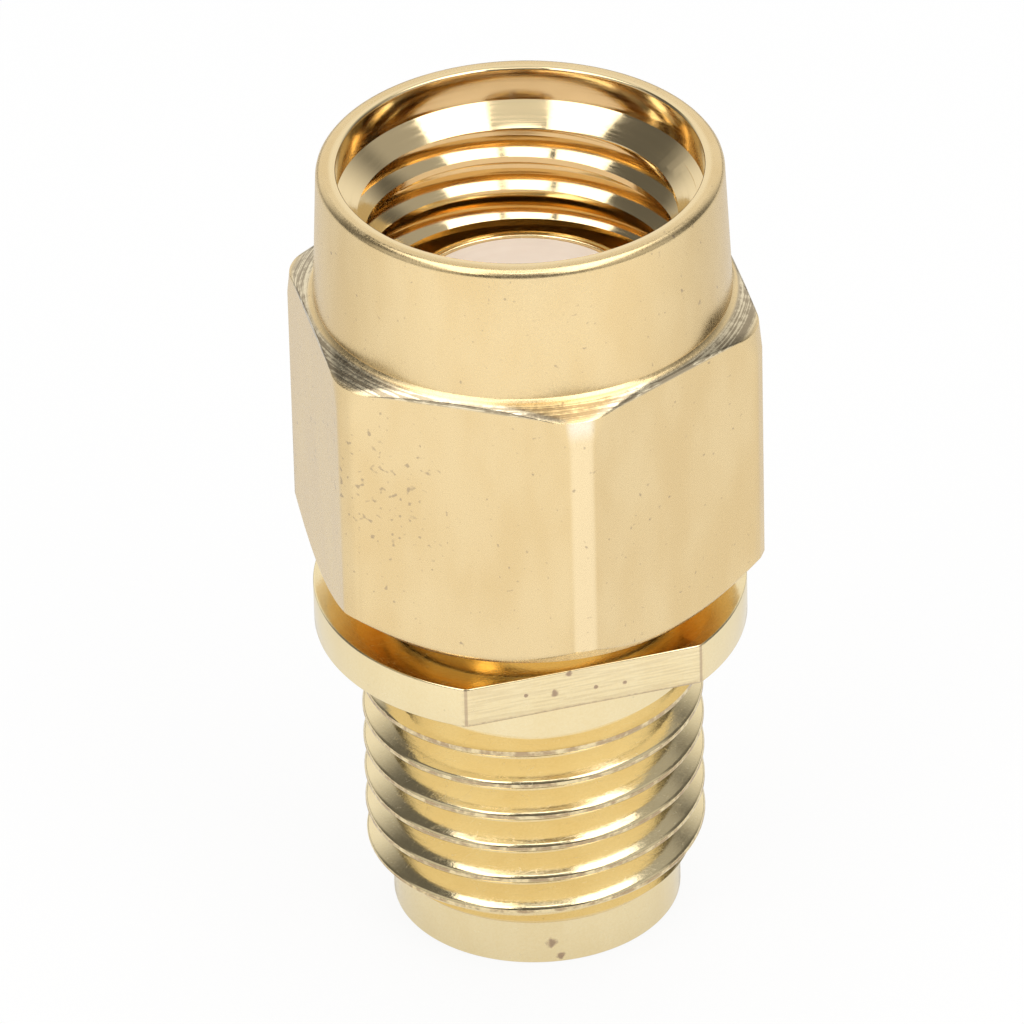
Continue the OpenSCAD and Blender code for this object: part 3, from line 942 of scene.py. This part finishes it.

# %% [markdown]
# ## Gold plate of the body
# The body is brighter than the nut: its thread mirrors like a new screw, and the crests are worn to brown in
# patches. Brown stains sit on the flange's flat and on the nose, and a thin dark line of painted shade follows
# the flat's lower edge and ends. Only the stains that someone would notice are placed one by one. The rest is
# noise.

# %% Masks of the body's plate
FLANGE_STAINS = [(-0.558, 6.523, 0.085), (-0.283, 6.882, 0.07), (0.226, 6.482, 0.045), (0.781, 6.47, 0.05),
                 (-1.111, 6.58, 0.045), (-2.455, 6.92, 0.07)]
NOSE_STAINS = [(-0.531, -2.637, 0.454, 0.11), (-0.37, -2.664, 0.15, 0.09)]
THREAD_TOP = (5.35, 5.15)
THREAD_SKIN = (3.2, 3.18)
FLAT_SKIN = (-3.25, -3.30)
# The flat's lower edge and its ends get a thin dark line of painted shade.
LOW_SHADE_LINE = (6.235, 6.185)
END_SHADE_LINE = (0.04, 0.015)
BRUSH_STRETCH = (1.5, 8.0, 26.0)
body_gold, tree, shader, place = new_finish("bright_gold_plate")
radius, height, _ = lathe_values(tree, place)
spread = add_node(tree, "ShaderNodeSeparateXYZ", links={0: place}).outputs
grain = use_group(tree, plate_grain, place, grain_size=0.05, cloud_size=1.1)
specks = use_group(tree, dirt_specks, place, size=0.11, share=0.07)["Mask"]
marks = use_group(tree, turning_marks, place, fineness=18.0, wander=2.5)["Marks"]
lines = use_group(tree, hairlines, place, width=0.012)["Mask"]
worn = use_group(tree, crest_wear, place, start=3.163, full=3.174)["Mask"]
on_thread = calc(tree, "MULTIPLY", soft_step(tree, height, *THREAD_TOP),
                 soft_step(tree, radius, *THREAD_SKIN))
wear = calc(tree, "MULTIPLY", calc(tree, "MULTIPLY", worn, on_thread), 0.7)
wobble = noise(tree, place, 9.0, 2.0)
stains = 0.0
for centre, size in ([((x, -FLANGE_FLAT, z), s) for x, z, s in FLANGE_STAINS]
                     + [((x, y, z), s) for x, y, z, s in NOSE_STAINS]):
    spot = use_group(tree, stain_spot, place, centre=centre, size=size, wobble=wobble)["Mask"]
    stains = calc(tree, "MAXIMUM", spot, stains)
on_flat = soft_step(tree, spread["Y"], *FLAT_SKIN)
low_shade = soft_step(tree, weighted(tree, height, (wobble, 0.08)), *LOW_SHADE_LINE)
flat_end = math.sqrt(FLANGE_R ** 2 - FLANGE_FLAT ** 2)
end_gap = calc(tree, "ABSOLUTE", calc(tree, "SUBTRACT", calc(tree, "ABSOLUTE", spread["X"]), flat_end))
ends = soft_step(tree, end_gap, *END_SHADE_LINE)
# Painted shade: a thin dark line along the flat's lower edge and its ends.
painted_shade_line = calc(tree, "MULTIPLY", calc(tree, "MAXIMUM", low_shade, ends), on_flat)
drawn_out = add_node(tree, "ShaderNodeMapping", {"Scale": BRUSH_STRETCH}, {"Vector": place}).outputs[0]
brushed = noise(tree, drawn_out, 1.0, 1.0)
streaks = calc(tree, "MULTIPLY", soft_step(tree, brushed, 0.35, 0.65), on_flat)
print("stains:", len(FLANGE_STAINS) + len(NOSE_STAINS), "nodes of the body's masks:", len(tree.nodes))

# %% Colour and gloss of the body's plate
BODY_DEEP = (0.90, 0.74, 0.43)
BODY_PALE = (0.94, 0.80, 0.50)
WORN_BROWN = (0.38, 0.24, 0.14)
# Brown of the real stains, also used for the painted shade line.
STAIN_AND_SHADE_BROWN = (0.33, 0.21, 0.16)
cloudy = weighted(tree, 0.0, (grain["Clouds"], 0.6), (grain["Grain"], 0.4))
gold = mix_colour(tree, cloudy, BODY_DEEP, BODY_PALE)
for mask, share, colour in ((specks, 0.35, SPECK_BROWN), (wear, 1.0, WORN_BROWN), (streaks, 0.16, WORN_BROWN),
                            (painted_shade_line, 0.5, STAIN_AND_SHADE_BROWN), (stains, 0.75, STAIN_AND_SHADE_BROWN)):
    gold = mix_colour(tree, calc(tree, "MULTIPLY", mask, share), gold, colour)
tree.links.new(gold, shader.inputs["Base Color"])
shader.inputs["Metallic"].default_value = 1.0
gloss = weighted(tree, 0.07, (grain["Grain"], 0.05), (grain["Clouds"], 0.04), (lines, 0.1), (stains, 0.25),
                 (wear, 0.1), (marks, 0.06))
tree.links.new(gloss, shader.inputs["Roughness"])
add_relief(tree, shader, weighted(tree, 0.0, (marks, 0.25), (grain["Grain"], 0.2)), 0.001)
print("nodes of the body's plate:", len(tree.nodes))

# %% [markdown]
# ## White beads, contact and ring
# The beads are PTFE, a soft waxy white plastic that shows the lathe's rings on its face, and their white is
# warmed by a painted cast of the gold's reflected light. The contact is plated like the body but was never
# handled. The ring is spring bronze, darker and redder than the plate.
# All of them use the groups from above with other sizes and weights.

# %% White of the beads
# The beads' white, warmed by a painted cast of light reflected from the gold.
BEAD_DEEP_GOLD_CAST = (0.86, 0.74, 0.63)
BEAD_PALE_GOLD_CAST = (0.92, 0.81, 0.70)
white_bead, tree, shader, place = new_finish("white_ptfe")
grain = use_group(tree, plate_grain, place, grain_size=0.07, cloud_size=0.9)
marks = use_group(tree, turning_marks, place, fineness=11.0, wander=1.0)["Marks"]
cloudy = weighted(tree, 0.0, (grain["Clouds"], 0.7), (marks, 0.3))
tree.links.new(mix_colour(tree, cloudy, BEAD_DEEP_GOLD_CAST, BEAD_PALE_GOLD_CAST), shader.inputs["Base Color"])
tree.links.new(weighted(tree, 0.38, (grain["Grain"], 0.12), (marks, 0.08)), shader.inputs["Roughness"])
shader.inputs["IOR"].default_value = 1.36
add_relief(tree, shader, weighted(tree, 0.0, (marks, 0.7), (grain["Grain"], 0.3)), 0.002)

# %% Plate of the contact and bronze of the ring
CONTACT_DEEP = (0.84, 0.64, 0.34)
BRONZE_DEEP = (0.52, 0.34, 0.17)
BRONZE_PALE = (0.66, 0.46, 0.25)


def turned_metal(name, deep, pale, roughness):
    """A metal that shows only its grain and clouds and the lathe's rings."""
    material, tree, shader, place = new_finish(name)
    grain = use_group(tree, plate_grain, place, grain_size=0.04, cloud_size=0.5)
    marks = use_group(tree, turning_marks, place, fineness=25.0, wander=1.0)["Marks"]
    tree.links.new(mix_colour(tree, grain["Clouds"], deep, pale), shader.inputs["Base Color"])
    shader.inputs["Metallic"].default_value = 1.0
    gloss = weighted(tree, roughness, (marks, 0.08), (grain["Grain"], 0.06))
    tree.links.new(gloss, shader.inputs["Roughness"])
    add_relief(tree, shader, marks, 0.0006)
    return material


contact_gold = turned_metal("contact_gold_plate", CONTACT_DEEP, PALE_GOLD, 0.28)
ring_bronze = turned_metal("spring_bronze", BRONZE_DEEP, BRONZE_PALE, 0.24)

# %% Dress every piece
for piece, material in ((threaded_body, body_gold), (hex_nut, nut_gold), (plug_bead, white_bead),
                        (jack_bead, white_bead), (contact, contact_gold), (split_ring, ring_bronze)):
    piece.data.materials.clear()
    piece.data.materials.append(material)
    print(piece.name, "wears", material.name)
